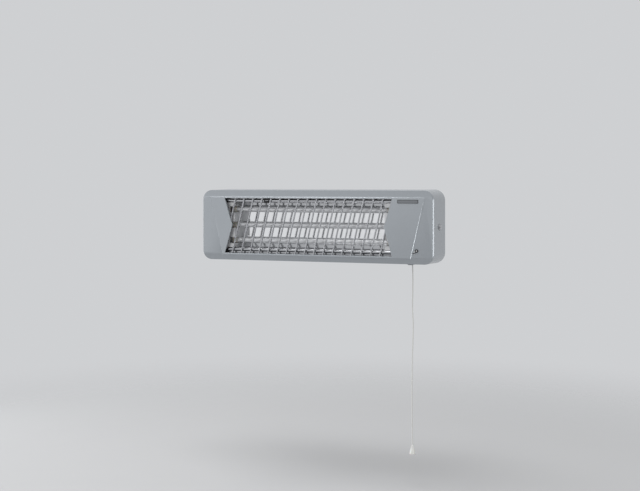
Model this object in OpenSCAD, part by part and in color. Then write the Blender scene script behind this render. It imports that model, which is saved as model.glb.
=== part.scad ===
// Wall-mounted infrared heater: three quartz tubes behind a slanted wire guard, on a tilting bracket
// Millimetres. +X to the viewer's right, +Y into the wall, +Z up. The wall is the plane y = 0.

/* [Housing] */
// Width of the housing at its front
body_w = 450; // [400:5:520]
// Height of the housing at its front
body_h = 130; // [118:1:150]
// Depth of the housing from its front panel to its rear edge
body_d = 72; // [70:1:84]
// Radius of the housing corners, seen from the front
corner_r = 18; // [14:1:24]
// Outward flare of every side from front to rear
draft = 1.5; // [0.5:0.5:2.5]
// Thickness of the housing wall
shell_t = 2; // [1.6:0.2:2.4]
// Chamfer round the front edge
edge_c = 2; // [1:0.5:3]
// Height of the sloped strips along the top and the bottom of the front
strip_h = 12; // [8:1:14]
// How far the sloped strips fall back
strip_d = 3; // [1:0.5:4]
// Thickness of the rear cover
cover_t = 2; // [1.5:0.5:3]

/* [Wall bracket] */
// Distance from the wall to the housing
wall_gap = 32; // [30:1:45]
// Thickness of the bracket's sheet
bracket_t = 2.5; // [2:0.5:3]
// Height of the bracket's wall plate
plate_h = 40; // [36:2:52]
// Height of the two arms
arm_h = 24; // [20:1:26]
// Distance between the two wall screws
screw_spacing = 300; // [200:10:360]
// Diameter of the wall screw holes
screw_hole_d = 5.5; // [4.5:0.5:6.5]
// Diameter of the pivot screws
pivot_d = 5; // [5:0.5:7]
// Furthest tilt of the housing, front down, in degrees
tilt_max = 30; // [10:5:30]

/* [Front panel and window] */
// Distance from the housing's side to the raised panel, at the panel's top
panel_top_inset = 17; // [13:1:25]
// Distance from the housing's side to the raised panel, at the panel's bottom
panel_bottom_inset = 43; // [35:1:50]
// How far the panel stands out of the frame round it
panel_rise = 1.2; // [0.6:0.2:2]
// Distance from the housing's left side to the window's corners
window_left = 46.5; // [44:0.5:60]
// Distance from the housing's right side to the window's corners
window_right = 76.5; // [75:0.5:90]
// Distance from the housing's top to the window
window_top = 15; // [14:1:18]
// Distance from the housing's bottom to the window
window_bottom = 13; // [12:1:17]
// How far the window narrows at each end of its waist
waist_in = 15; // [12:1:20]

/* [Guard] */
// Diameter of the guard wires
wire_d = 3; // [2:0.5:3]
// Number of guard wires
wire_count = 18; // [14:1:20]
// How far the two outer wires stand beyond the waist of the window
wire_over = 5.35; // [3:0.25:7]
// Sideways lean of the wires for each millimetre of height
wire_lean = 0.24; // [0:0.02:0.3]
// Distance from the housing's top and bottom to the guard's rods
rod_inset = 11.5; // [11:0.5:14]

/* [Heating tubes] */
// Diameter of the quartz tubes
tube_d = 10; // [8:0.5:10]
// Wall of the quartz tubes
tube_t = 1; // [0.8:0.1:1.2]
// Diameter of the wound heating coils
coil_d = 5.6; // [4:0.2:5.8]
// Distance from the tubes' axis to the mirror behind them
tube_back = 16; // [14:1:18]
// Sheet thickness of the reflector
mirror_t = 0.8; // [0.6:0.1:1]
// Radius of the rolled bead on the reflector's rims
bead_r = 3.5; // [3:0.25:3.5]

/* [Pull switch] */
// Distance from the housing's right edge to the cord
cord_inset = 47; // [44:1:50]
// Distance from the housing's front to the cord
cord_depth = 29; // [28:1:32]
// Travel of the pull switch
pull_travel = 8; // [6:1:9]
// Diameter of the pull cord
cord_d = 2.3; // [2:0.1:2.6]
// Largest diameter of the knob
knob_d = 11; // [10:0.5:14]
// Height of the knob
knob_h = 16; // [14:1:20]

/* [Hidden] */
$fn = 48;

// Planes along the depth
rear_y = -wall_gap;
front_y = rear_y - body_d;
ring_y = front_y + panel_rise;
taper_y = ring_y + edge_c;
pivot_y = rear_y - body_d / 2;
inner_y = ring_y + shell_t;
half_w = body_w / 2;
half_h = body_h / 2;
window_x = (window_left - window_right) / 2;
window_w = body_w - window_left - window_right;
waist_w = window_w - 2 * waist_in;
function flare(y) = draft * (y - taper_y) / (rear_y - taper_y);

// Clearances
seat = 0.1;
slip = 0.05;
gap = 0.3;

// Sloped strips of the front
strip_z = half_h - strip_h;
strip_slope = strip_d / strip_h;
panel_up = half_h - strip_h - 0.5;
panel_down = half_h - strip_h + 2.5;

// Pivot at both sides, from the outside inwards
side_x = half_w + flare(pivot_y);
spot_x = side_x - 0.8;
boss_x = side_x - shell_t - 1;
bush_flange_t = 5;
arm_x = boss_x - bush_flange_t - 0.2;
washer_t = 1;
head_t = 2.2;
pivot_nut_t = 4.5;
bush_r = pivot_d / 2 + 2;
notch_x = arm_x - bracket_t - 2;

// Rear cover and its screws
cover_y = rear_y - cover_t;
cover_half_w = half_w + flare(cover_y) - shell_t - 0.4;
cover_half_h = half_h + flare(cover_y) - shell_t - 0.4;
cover_r = corner_r + flare(cover_y) - shell_t - 0.4;
boss_r = 4;
cover_boss_z = half_h - 6.5;
cover_boss_xs = [-(half_w - 35), 0, half_w - 35];
cover_boss_l = 16;

// Heights in the heating chamber, from the outside to the middle
heat_x = window_x;
wire_r = wire_d / 2;
tube_r = tube_d / 2;
bead_gap = 3;
rim_rise = 8;
tube_inset = 5.2;
rod_z_c = half_h - rod_inset;
bead_z = rod_z_c - wire_r - bead_gap - bead_r;
rim_z = bead_z - bead_r;
back_z = rim_z - rim_rise;
tube_pitch = back_z - tube_inset;
tube_zs = [tube_pitch, 0, -tube_pitch];

// Guard: it lies against the inside of the front, and its two rods lie behind the wires
wire_pitch = (waist_w + 2 * wire_over) / (wire_count - 1);
wire_end_z = rod_z_c + wire_r + 0.8;
wire_y = inner_y + max(0, wire_end_z - strip_z) * strip_slope + gap + wire_r;
wire_back = wire_y + wire_r;
rod_y_c = wire_back + wire_r;

// Depths in the heating chamber
mirror_room = 29;
mirror_y = rear_y - mirror_room;
tube_y = mirror_y - tube_back;
bead_y = wire_back + seat + bead_r;
flange_y = bead_y + bead_r - mirror_t;
flange_z = half_h - 2.5;
screw_z = half_h - 5.5;
end_x = waist_w / 2 - 1.5;
flange_l = 9;
lip_l = 23;
cap_x = end_x + 2;
cap_l = 8;
cap_r = tube_r + 1.75;
socket_l = 6;
tube_half = cap_x + socket_l - 0.2;
neck_r = 3.5;
neck_x = cap_x + cap_l + 6;
holder_x = cap_x + cap_l + 1;
holder_t = 1.5;
holder_l = 11;
stud_r = 1.5;
stud_x = neck_x + 8;
back_x = holder_x + holder_l + 2;
reflector_screw_xs = [for (s = [-1, 0, 1]) heat_x + s * (end_x - 22)];

// Cord and switch: the cord hangs from the switch slide
cord_x = half_w - cord_inset;
cord_y = front_y + cord_depth;
eye_z = -44;
stem_r = 2.5;
floor_z = -half_h - flare(cord_y);
box_x0 = cord_x - 12;
box_x1 = cord_x + 19;
box_y0 = cord_y - 13;
box_y1 = cord_y + 13;
box_z0 = eye_z + 6;
box_z1 = box_z0 + 30 + pull_travel;
box_t = 2;
spring_least_l = 6;
collar_z = box_z0 + box_t + spring_least_l + pull_travel;
cam_x = cord_x + 9;
cam_z = box_z0 + 25;
cam_r = 6;
cam_pin_r = 1.45;
ear_l = 8;
ear_t = 3;
post_xs = [box_x0 - ear_l / 2, box_x1 + ear_l / 2];
post_r = 3.5;
slot_run = (eye_z - floor_z + 2) * tan(tilt_max);
slot_r = cord_d / 2 + 0.65;
guide_r = slot_r + 1.4;
guide_y0 = cord_y - slot_run;

// Terminal block and cable inlet
block_x = half_w - 35;
block_w = 20;
block_d = 17;
block_h = 36;
block_z = 32;
gland_x = half_w - 58;
gland_z = 30;
gland_r = 8;
gland_bore_r = 4;
clamp_x = gland_x - 18;
clamp_t = 6;

// Route of the pull cord below the switch slide: x and z from its upper end, with the slight waves
// of a cord that was wound up
cord_route = [[0, 0], [0, -5], [0, -10], [0.3, -20], [0.7, -35], [0.6, -60], [0, -90],
  [0.6, -105], [1.4, -120], [1, -145], [0, -175], [-0.5, -205], [-0.9, -240], [-0.7, -270],
  [-0.3, -300], [0, -323], [0, -332], [0, -341]];
cord_top_z = eye_z - 8;
cord_end_z = cord_top_z + cord_route[len(cord_route) - 1][1];
knot_h = 3.4;
knob_top_z = cord_end_z + 4;

// Shapes drawn in a plane and pushed along an axis
module along_x(x0, x1) translate([x0, 0, 0]) rotate([90, 0, 90]) linear_extrude(x1 - x0) children();
module along_y(y0, y1) translate([0, y1, 0]) rotate([90, 0, 0]) linear_extrude(y1 - y0) children();
module along_z(z0, z1) translate([0, 0, z0]) linear_extrude(z1 - z0) children();
module rod_x(x0, x1, y, z, r) translate([x0, y, z]) rotate([0, 90, 0]) cylinder(h = x1 - x0, r = r);
module rod_y(y0, y1, x, z, r) translate([x, y0, z]) rotate([-90, 0, 0]) cylinder(h = y1 - y0, r = r);
module rod_z(z0, z1, x, y, r) translate([x, y, z0]) cylinder(h = z1 - z0, r = r);
module block(x0, x1, y0, y1, z0, z1) translate([x0, y0, z0]) cube([x1 - x0, y1 - y0, z1 - z0]);
module hex(r) rotate(30) circle(r = r, $fn = 6);

// A pair of pieces at both sides of the housing, and a pair at both ends of the heating chamber
module both_sides() {
  children();
  mirror([1, 0, 0]) children();
}
module left_end() translate([heat_x, 0, 0]) mirror([1, 0, 0]) children();
module right_end() translate([heat_x, 0, 0]) children();

// A flat shape with straight sides and round ends, from point a to point b
module obround(a, b, r) {
  d = b - a;
  translate(a) circle(r);
  translate(b) circle(r);
  translate(a) rotate(atan2(d.y, d.x)) translate([0, -r]) square([norm(d), 2 * r]);
}

module rounded_plate(hw, hh, r) {
  for (sx = [-1, 1], sz = [-1, 1]) translate([sx * (hw - r), sz * (hh - r)]) circle(r);
  square([2 * (hw - r), 2 * hh], center = true);
  square([2 * hw, 2 * (hh - r)], center = true);
}

// A round tube swept along points; side gives a direction that no stretch of it runs along
function unit(v) = v / norm(v);
function heading(p, i) = unit(p[min(i + 1, len(p) - 1)] - p[max(i - 1, 0)]);
function ring(p, i, r, n, side) =
  let (t = heading(p, i), u = unit(cross(side, t)), v = cross(t, u))
  [for (k = [0:n - 1]) p[i] + r * (cos(360 * k / n) * u + sin(360 * k / n) * v)];
module swept_tube(p, r, n, side) {
  m = len(p);
  rings = [for (i = [0:m - 1]) each ring(p, i, r, n, side)];
  walls = [for (i = [0:m - 2], k = [0:n - 1])
    let (a = i * n + k, b = i * n + (k + 1) % n) each [[a, a + n, b], [b, a + n, b + n]]];
  ends = [for (k = [1:n - 2]) each
    [[0, k, k + 1], [(m - 1) * n, (m - 1) * n + k + 1, (m - 1) * n + k]]];
  polyhedron(points = rings, faces = concat(walls, ends), convexity = 4);
}

// Points on a smooth curve through the points p, with n steps from each to the next
function curve_at(a, b, c, d, t) =
  0.5 * (2 * b + (c - a) * t + (2 * a - 5 * b + 4 * c - d) * t * t
    + (3 * b - a - 3 * c + d) * t * t * t);
function smooth(p, n) =
  let (m = len(p))
  concat([for (i = [0:m - 2], k = [0:n - 1])
    curve_at(p[max(i - 1, 0)], p[i], p[i + 1], p[min(i + 2, m - 1)], k / n)], [p[m - 1]]);

// Housing form: four corner cones with a slab between them each way
module taper_form(r0, r1, y0, y1) {
  cw = half_w - corner_r;
  ch = half_h - corner_r;
  for (sx = [-1, 1], sz = [-1, 1])
    translate([sx * cw, y0, sz * ch]) rotate([-90, 0, 0]) cylinder(h = y1 - y0, r1 = r0, r2 = r1);
  along_x(-cw, cw) polygon([[y0, -ch - r0], [y1, -ch - r1], [y1, ch + r1], [y0, ch + r0]]);
  along_z(-ch, ch) polygon([[-cw - r0, y0], [cw + r0, y0], [cw + r1, y1], [-cw - r1, y1]]);
}

function strip_profile(inset) =
  let (far = strip_h + 20, y = ring_y + inset, z = strip_z + far)
  [[y, -strip_z], [y, strip_z], [y + far * strip_slope, z], [1, z], [1, -z],
    [y + far * strip_slope, -z]];

module housing_form(inset, past) {
  r0 = corner_r - inset;
  intersection() {
    union() {
      taper_form(r0 - edge_c, r0, ring_y + inset, taper_y + inset);
      taper_form(r0 + flare(taper_y + inset), r0 + flare(rear_y + past), taper_y + inset, rear_y + past);
    }
    along_x(-body_w, body_w) polygon(strip_profile(inset));
  }
}

module panel_outline() polygon([[panel_top_inset - half_w, panel_up],
  [half_w - panel_top_inset, panel_up], [half_w - panel_bottom_inset, -panel_down],
  [panel_bottom_inset - half_w, -panel_down]]);

module window_outline() translate([window_x, 0]) polygon([[-window_w / 2, half_h - window_top],
  [window_w / 2, half_h - window_top], [waist_w / 2, 0], [window_w / 2, window_bottom - half_h],
  [-window_w / 2, window_bottom - half_h], [-waist_w / 2, 0]]);

// Posts and ribs that stand on the inside of the housing
module shell_posts() {
  for (x = reflector_screw_xs, s = [-1, 1]) {
    rod_y(ring_y + 1, flange_y - seat, x, s * screw_z, 3);
    block(x - 1, x + 1, ring_y + 1, flange_y - seat, min(s * screw_z, s * (half_h + 5)),
      max(s * screw_z, s * (half_h + 5)));
  }
  for (x = cover_boss_xs, s = [-1, 1]) {
    rod_y(cover_y - seat - cover_boss_l, cover_y - seat, x, s * cover_boss_z, boss_r);
    block(x - boss_r, x + boss_r, cover_y - seat - cover_boss_l, cover_y - seat,
      min(s * cover_boss_z, s * (half_h + 5)), max(s * cover_boss_z, s * (half_h + 5)));
  }
  for (x = post_xs) rod_z(-half_h - 5, box_z0 - seat, x, cord_y, post_r);
}

module front_shell() color("silver") difference() {
  union() {
    difference() {
      housing_form(0, 0);
      housing_form(shell_t, 1);
    }
    along_y(front_y, inner_y) panel_outline();
    intersection() {
      housing_form(shell_t / 2, 0);
      shell_posts();
    }
    both_sides() rod_x(boss_x, spot_x, pivot_y, 0, bush_r + 5);
  }
  along_y(front_y - 1, inner_y + 1) window_outline();
  for (x = reflector_screw_xs, s = [-1, 1]) rod_y(flange_y - 7, flange_y, x, s * screw_z, 1.25);
  for (x = cover_boss_xs, s = [-1, 1])
    rod_y(cover_y - cover_boss_l, cover_y, x, s * cover_boss_z, 1.5);
  for (x = post_xs) rod_z(box_z0 - 12, box_z0, x, cord_y, 1.25);
  both_sides() {
    rod_x(boss_x - 1, side_x + 1, pivot_y, 0, bush_r + slip);
    rod_x(spot_x, side_x + 2, pivot_y, 0, bush_r + 1.5);
  }
  along_z(floor_z - 3, floor_z + shell_t + 3)
    obround([cord_x, cord_y], [cord_x, guide_y0], guide_r + seat);
}

// Vent slots, arm notches, screw holes and the cable hole are cut through the rear cover
vent_count = 15;
vent_pitch = (2 * end_x - 13.6) / (vent_count - 1);
vent_low = back_z + 2;
vent_high = back_z + 12;
module rear_cover() color("gainsboro") difference() {
  along_y(cover_y, rear_y) rounded_plate(cover_half_w, cover_half_h, cover_r);
  for (i = [0:vent_count - 1], s = [-1, 1]) {
    x = heat_x + (i - (vent_count - 1) / 2) * vent_pitch;
    along_y(cover_y - 1, rear_y + 1) obround([x, s * vent_low], [x, s * vent_high], 1.6);
  }
  both_sides() block(notch_x, half_w + 9, cover_y - 1, rear_y + 1,
    -(body_d / 2 * tan(tilt_max) + arm_h / 2 / cos(tilt_max) + 3), arm_h / 2 + 2);
  for (x = cover_boss_xs, s = [-1, 1]) rod_y(cover_y - 1, rear_y + 1, x, s * cover_boss_z, 1.9);
  rod_y(cover_y - 1, rear_y + 1, gland_x, gland_z, gland_r + slip);
  for (s = [-1, 1]) rod_y(cover_y - 1, rear_y + 1, block_x, block_z + s * 14, 1.4);
  for (s = [-1, 1]) rod_y(cover_y - 1, rear_y + 1, clamp_x, gland_z + s * 7, 1.4);
}

module rear_cover_screws() color("darkgray") for (x = cover_boss_xs, s = [-1, 1]) difference() {
  union() {
    rod_y(rear_y + seat, rear_y + seat + 2.2, x, s * cover_boss_z, 3.4);
    rod_y(cover_y - 9, rear_y + seat, x, s * cover_boss_z, 1.45);
  }
  for (a = [0, 90]) translate([x, rear_y + 2, s * cover_boss_z]) rotate([0, a, 0])
    cube([4, 2, 0.9], center = true);
}

// Wall bracket: a channel whose two ends are bent forward into arms
bend_r = bracket_t + 2.5;
plate_end = arm_x - bend_r;
slot_inset = 40;
slot_run_l = 15;
module wall_bracket() color("lightsteelblue") difference() {
  union() {
    block(-plate_end, plate_end, -bracket_t, 0, -arm_h / 2, arm_h / 2);
    along_y(-bracket_t, 0) rounded_plate(plate_end - 8, plate_h / 2, 6);
    both_sides() {
      intersection() {
        difference() {
          rod_z(-arm_h / 2, arm_h / 2, plate_end, -bend_r, bend_r);
          rod_z(-arm_h / 2 - 1, arm_h / 2 + 1, plate_end, -bend_r, bend_r - bracket_t);
        }
        block(plate_end, arm_x + 1, -bend_r, 1, -arm_h, arm_h);
      }
      block(arm_x - bracket_t, arm_x, pivot_y, -bend_r, -arm_h / 2, arm_h / 2);
      rod_x(arm_x - bracket_t, arm_x, pivot_y, 0, arm_h / 2);
    }
  }
  both_sides() rod_x(arm_x - bracket_t - 1, arm_x + 1, pivot_y, 0, pivot_d / 2 + slip);
  for (s = [-1, 1]) {
    rod_y(-bracket_t - 1, 1, s * screw_spacing / 2, 0, screw_hole_d / 2);
    along_y(-bracket_t - 1, 1) obround([s * (screw_spacing / 2 - slot_inset), 0],
      [s * (screw_spacing / 2 - slot_inset - slot_run_l), 0], screw_hole_d / 2);
  }
}

module pivot_screws() color("silver") both_sides() difference() {
  union() {
    rod_x(spot_x + seat + washer_t, spot_x + seat + washer_t + head_t, pivot_y, 0, pivot_d / 2 + 1.6);
    rod_x(arm_x - bracket_t - pivot_nut_t - 1, spot_x + seat + washer_t, pivot_y, 0, pivot_d / 2);
  }
  for (a = [0, 90]) translate([spot_x + seat + washer_t + head_t, pivot_y, 0]) rotate([a, 0, 0])
    cube([2.4, pivot_d, 1], center = true);
}

module pivot_washers() color("silver") both_sides() difference() {
  rod_x(spot_x + seat, spot_x + seat + washer_t, pivot_y, 0, pivot_d / 2 + 2.6);
  rod_x(spot_x, spot_x + 3, pivot_y, 0, pivot_d / 2 + slip);
}

module pivot_nuts() color("silver") both_sides() difference() {
  translate([0, pivot_y, 0]) along_x(arm_x - bracket_t - pivot_nut_t, arm_x - bracket_t)
    hex(pivot_d * 0.96);
  rod_x(arm_x - bracket_t - 9, arm_x, pivot_y, 0, pivot_d / 2 + slip);
}

module pivot_bushes() color("ivory") both_sides() difference() {
  union() {
    rod_x(boss_x - bush_flange_t, boss_x, pivot_y, 0, bush_r + 4);
    rod_x(boss_x, spot_x, pivot_y, 0, bush_r);
  }
  rod_x(boss_x - 5, side_x + 1, pivot_y, 0, pivot_d / 2 + slip);
}

name_half_w = 20;
name_half_h = 3.6;
name_x = half_w - 47;
name_z = panel_up - 7;
module name_plate() color("dimgray") along_y(front_y - 0.8, front_y) translate([name_x, name_z])
  rounded_plate(name_half_w, name_half_h, 1);

// Reflector: flat mirror back, sloped walls, and longer lips of a rolled rim and a flange that is
// screwed to the housing
module reflector_half_profile() polygon([[mirror_y, 0], [mirror_y, back_z], [bead_y, rim_z],
  [bead_y, rim_z + mirror_t], [mirror_y + mirror_t, back_z + mirror_t], [mirror_y + mirror_t, 0]]);

module reflector_lip_profile() {
  difference() {
    translate([bead_y, bead_z]) circle(bead_r);
    translate([bead_y, bead_z]) circle(bead_r - mirror_t);
  }
  translate([flange_y, bead_z]) square([mirror_t, flange_z - bead_z]);
}

module reflector() color("whitesmoke") difference() {
  union() {
    along_x(heat_x - end_x - flange_l, heat_x + end_x + flange_l) {
      reflector_half_profile();
      mirror([0, 1]) reflector_half_profile();
    }
    along_x(heat_x - end_x - lip_l, heat_x + end_x + lip_l) {
      reflector_lip_profile();
      mirror([0, 1]) reflector_lip_profile();
    }
    block(heat_x - back_x, heat_x + back_x, mirror_y, mirror_y + mirror_t, -back_z, back_z);
  }
  for (x = reflector_screw_xs, s = [-1, 1]) rod_y(flange_y - 1, flange_y + 2, x, s * screw_z, 1.7);
  for (sx = [-1, 1], sz = [-1, 1]) {
    rod_y(mirror_y - 1, mirror_y + 2, heat_x + sx * (end_x + 5), sz * tube_pitch / 2, 1.55);
    rod_y(mirror_y - 1, mirror_y + 2, heat_x + sx * (holder_x + 7), sz * tube_pitch / 2, 1.7);
  }
}

// One end wall of the chamber, drawn for the right end: slots take the tubes from the front, and a wide
// front flange closes the chamber behind the slanted end of the window
module reflector_end() difference() {
  union() {
    along_x(end_x, end_x + mirror_t) polygon([[mirror_y - seat, -back_z + gap],
      [bead_y - mirror_t, -rim_z + gap], [bead_y - mirror_t, rim_z - gap],
      [mirror_y - seat, back_z - gap]]);
    block(end_x, end_x + lip_l, bead_y - mirror_t, bead_y, -rim_z + gap, rim_z - gap);
    block(end_x, end_x + flange_l, mirror_y - seat - mirror_t, mirror_y - seat,
      -back_z + 1, back_z - 1);
  }
  for (z = tube_zs) {
    rod_x(end_x - 1, end_x + mirror_t + 1, tube_y, z, tube_r + 0.6);
    block(end_x - 1, end_x + flange_l + 1, bead_y - 3, tube_y, z - tube_r - 0.6, z + tube_r + 0.6);
  }
  for (s = [-1, 1]) rod_y(mirror_y - 3, mirror_y + 1, end_x + 5, s * tube_pitch / 2, 1.55);
}
module reflector_end_left() color("whitesmoke") left_end() reflector_end();
module reflector_end_right() color("whitesmoke") right_end() reflector_end();

module rivet() for (s = [-1, 1]) translate([end_x + 5, 0, s * tube_pitch / 2]) {
  rod_y(mirror_y - seat - mirror_t - 0.9, mirror_y - seat - mirror_t, 0, 0, 2.6);
  rod_y(mirror_y - seat - mirror_t, mirror_y + mirror_t, 0, 0, 1.5);
  rod_y(mirror_y + mirror_t, mirror_y + mirror_t + 0.9, 0, 0, 2.6);
}
module reflector_rivets() color("silver") {
  left_end() rivet();
  right_end() rivet();
}

module reflector_screws() color("silver") for (x = reflector_screw_xs, s = [-1, 1]) {
  rod_y(flange_y + mirror_t, flange_y + mirror_t + 1.8, x, s * screw_z, 2.6);
  rod_y(flange_y - 6, flange_y + mirror_t, x, s * screw_z, 1.2);
}

// Guard: leaning wires welded to two rods that lie behind the front panel
function wire_x(i) = window_x + (i - (wire_count - 1) / 2) * wire_pitch - 2;
module guard_wires() color("lightgray") for (i = [0:wire_count - 1])
  translate([wire_x(i), wire_y, 0]) rotate([0, atan(wire_lean), 0])
    cylinder(h = 2 * (rod_z_c + wire_r) / cos(atan(wire_lean)), r = wire_r, center = true);

module guard_rods() color("lightgray") for (s = [-1, 1])
  rod_x(wire_x(0) + s * wire_lean * rod_z_c - 5, wire_x(wire_count - 1) + s * wire_lean * rod_z_c + 5,
    rod_y_c, s * rod_z_c, wire_r);

clip_w = 10.5;
clip_x = wire_x(3) + wire_pitch / 2 + wire_lean * bead_z + 0.5;
module guard_clip() color("black") difference() {
  along_x(clip_x - clip_w / 2, clip_x + clip_w / 2) difference() {
    translate([bead_y - bead_r - 0.9, rim_z - 0.9])
      square([bead_r + 0.6, rod_z_c + wire_r + 1.8 - rim_z]);
    translate([bead_y - bead_r - seat, rim_z - seat])
      square([9, rod_z_c + wire_r + 2 * seat - rim_z]);
  }
  block(clip_x - clip_w / 2 + 1.5, clip_x + clip_w / 2 - 1.5, bead_y - bead_r - 2, bead_y - bead_r,
    bead_z - 0.4, bead_z + 0.5);
}

// Heating tubes, each with a wound coil on two pins
module quartz_tube(z) color("white") translate([heat_x, 0, 0]) difference() {
  rod_x(-tube_half, tube_half, tube_y, z, tube_r);
  rod_x(-tube_half - 1, tube_half + 1, tube_y, z, tube_r - tube_t);
}
module quartz_tube_top() quartz_tube(tube_zs[0]);
module quartz_tube_middle() quartz_tube(tube_zs[1]);
module quartz_tube_bottom() quartz_tube(tube_zs[2]);

coil_half = end_x - 6;
pin_x = cap_x + cap_l + 1;
module heating_coil(z) color("darkgray") translate([heat_x, 0, 0]) {
  rod_x(-coil_half, coil_half, tube_y, z, coil_d / 2);
  rod_x(-pin_x, pin_x, tube_y, z, 0.7);
}
module heating_coil_top() heating_coil(tube_zs[0]);
module heating_coil_middle() heating_coil(tube_zs[1]);
module heating_coil_bottom() heating_coil(tube_zs[2]);

// Ceramic end caps: a socket for the tube and a neck that the holder grips
module tube_caps() for (z = tube_zs) difference() {
  union() {
    rod_x(cap_x, cap_x + cap_l, tube_y, z, cap_r);
    rod_x(cap_x + cap_l, neck_x, tube_y, z, neck_r);
  }
  rod_x(cap_x - 1, cap_x + socket_l, tube_y, z, tube_r + seat);
  rod_x(cap_x, pin_x + 0.5, tube_y, z, 0.8);
  rod_x(pin_x + 0.2, neck_x + 1, tube_y, z, stud_r + slip);
}
module tube_caps_left() color("linen") left_end() tube_caps();
module tube_caps_right() color("linen") right_end() tube_caps();

module tube_holder() difference() {
  union() {
    block(holder_x, holder_x + holder_t, tube_y - 9, mirror_y - seat, -back_z - 4, back_z + 4);
    block(holder_x, holder_x + holder_l, mirror_y - seat - holder_t, mirror_y - seat, -back_z, back_z);
  }
  for (z = tube_zs) rod_x(holder_x - 1, holder_x + holder_t + 1, tube_y, z, neck_r + slip);
  for (s = [-1, 1]) rod_y(mirror_y - 4, mirror_y + 1, holder_x + 7, s * tube_pitch / 2, 1.7);
}
module tube_holder_left() color("silver") left_end() tube_holder();
module tube_holder_right() color("silver") right_end() tube_holder();

module holder_screw_pair() for (s = [-1, 1]) translate([holder_x + 7, 0, s * tube_pitch / 2]) {
  rod_y(mirror_y - seat - holder_t, mirror_y + mirror_t, 0, 0, 1.5);
  rod_y(mirror_y + mirror_t, mirror_y + mirror_t + 2, 0, 0, 2.8);
  rod_y(mirror_y - seat - holder_t - 2, mirror_y - seat - holder_t, 0, 0, 2.7);
}
module holder_screws() color("silver") {
  left_end() holder_screw_pair();
  right_end() holder_screw_pair();
}

module studs() for (z = tube_zs) rod_x(pin_x + 0.3, stud_x, tube_y, z, stud_r);
module tube_studs() color("silver") {
  left_end() studs();
  right_end() studs();
}

tag_t = 0.8;
tag_x = neck_x + seat;
nut_x = tag_x + tag_t + seat;
nut_t = 2.4;
module nuts() for (z = tube_zs) difference() {
  translate([0, tube_y, z]) along_x(nut_x, nut_x + nut_t) hex(3.1);
  rod_x(nut_x - 1, nut_x + nut_t + 1, tube_y, z, stud_r + slip);
}
module stud_nuts() color("silver") {
  left_end() nuts();
  right_end() nuts();
}

// Brass bar that joins the three tubes at the left end
module link_bar() color("goldenrod") left_end() difference() {
  along_x(tag_x, tag_x + tag_t) obround([tube_y, tube_zs[2]], [tube_y, tube_zs[0]], 4);
  for (z = tube_zs) rod_x(tag_x - 1, tag_x + 2, tube_y, z, stud_r + slip);
}

// Ring tags at the right end of the tubes, each with a barrel for its lead
lug_l = 5;
module lead_lugs() color("goldenrod") right_end() for (z = tube_zs) {
  difference() {
    union() {
      along_x(tag_x, tag_x + tag_t) obround([tube_y, z], [tube_y + 4, z], 3.4);
      rod_y(tube_y + 4, tube_y + 4 + lug_l, tag_x + 1.6, z, 1.6);
    }
    rod_x(tag_x - 1, tag_x + 4, tube_y, z, stud_r + slip);
    block(tag_x + tag_t, tag_x + 4, tube_y - 5, tube_y + 4.2, z - 4, z + 4);
  }
}

// Terminal block on the rear cover
module terminal_block() color("ivory") difference() {
  block(block_x - block_w / 2, block_x + block_w / 2, cover_y - seat - block_d, cover_y - seat,
    block_z - block_h / 2, block_z + block_h / 2);
  for (i = [-1:1]) {
    rod_y(cover_y - block_d - 2, cover_y - block_d + 6, block_x - 4, block_z + i * 10, 2.2);
    rod_x(block_x - block_w, block_x - 6, cover_y - block_d / 2, block_z + i * 10, 1.8);
  }
  for (s = [-1, 1]) rod_y(cover_y - block_d - 1, cover_y, block_x + 5, block_z + s * 5, 1.4);
  for (s = [-1, 1]) rod_y(cover_y - 8, cover_y, block_x, block_z + s * 14, 1.2);
}

module terminal_screws() color("silver") {
  for (i = [-1:1]) difference() {
    rod_y(cover_y - block_d + 0.5, cover_y - block_d + 6 - seat, block_x - 4, block_z + i * 10,
      2.2 - slip);
    block(block_x - 8, block_x, cover_y - block_d, cover_y - block_d + 1.3,
      block_z + i * 10 - 0.4, block_z + i * 10 + 0.4);
  }
  for (s = [-1, 1]) {
    rod_y(rear_y + seat, rear_y + seat + 1.8, block_x, block_z + s * 14, 2.5);
    rod_y(cover_y - 7, rear_y + seat, block_x, block_z + s * 14, 1.15);
  }
}

// Cable inlet: gland, its nut and the clamp inside the cover
module cable_gland() color("dimgray") difference() {
  union() {
    rod_y(cover_y - 9, rear_y, gland_x, gland_z, gland_r);
    rod_y(rear_y, rear_y + 3, gland_x, gland_z, gland_r + 3);
    translate([gland_x, rear_y + 3, gland_z]) rotate([-90, 0, 0])
      cylinder(h = 6, r1 = gland_r, r2 = gland_bore_r + 1.5);
  }
  rod_y(cover_y - 12, rear_y + 12, gland_x, gland_z, gland_bore_r);
}

module gland_nut() color("dimgray") difference() {
  translate([gland_x, 0, gland_z]) along_y(cover_y - 5, cover_y) hex(gland_r + 2.8);
  rod_y(cover_y - 6, cover_y + 1, gland_x, gland_z, gland_r + slip);
}

module cord_clamp() color("ivory") difference() {
  block(clamp_x - 6, clamp_x + 6, cover_y - seat - clamp_t, cover_y - seat, gland_z - 10, gland_z + 10);
  rod_x(clamp_x - 9, clamp_x + 9, cover_y, gland_z, 3.6);
  for (s = [-1, 1]) rod_y(cover_y - clamp_t - 1, cover_y, clamp_x, gland_z + s * 7, 1.5);
}

module clamp_screws() color("silver") for (s = [-1, 1]) {
  rod_y(cover_y - seat - clamp_t - 2, cover_y - seat - clamp_t, clamp_x, gland_z + s * 7, 2.6);
  rod_y(cover_y - seat - clamp_t, rear_y - 0.5, clamp_x, gland_z + s * 7, 1.35);
}

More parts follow.
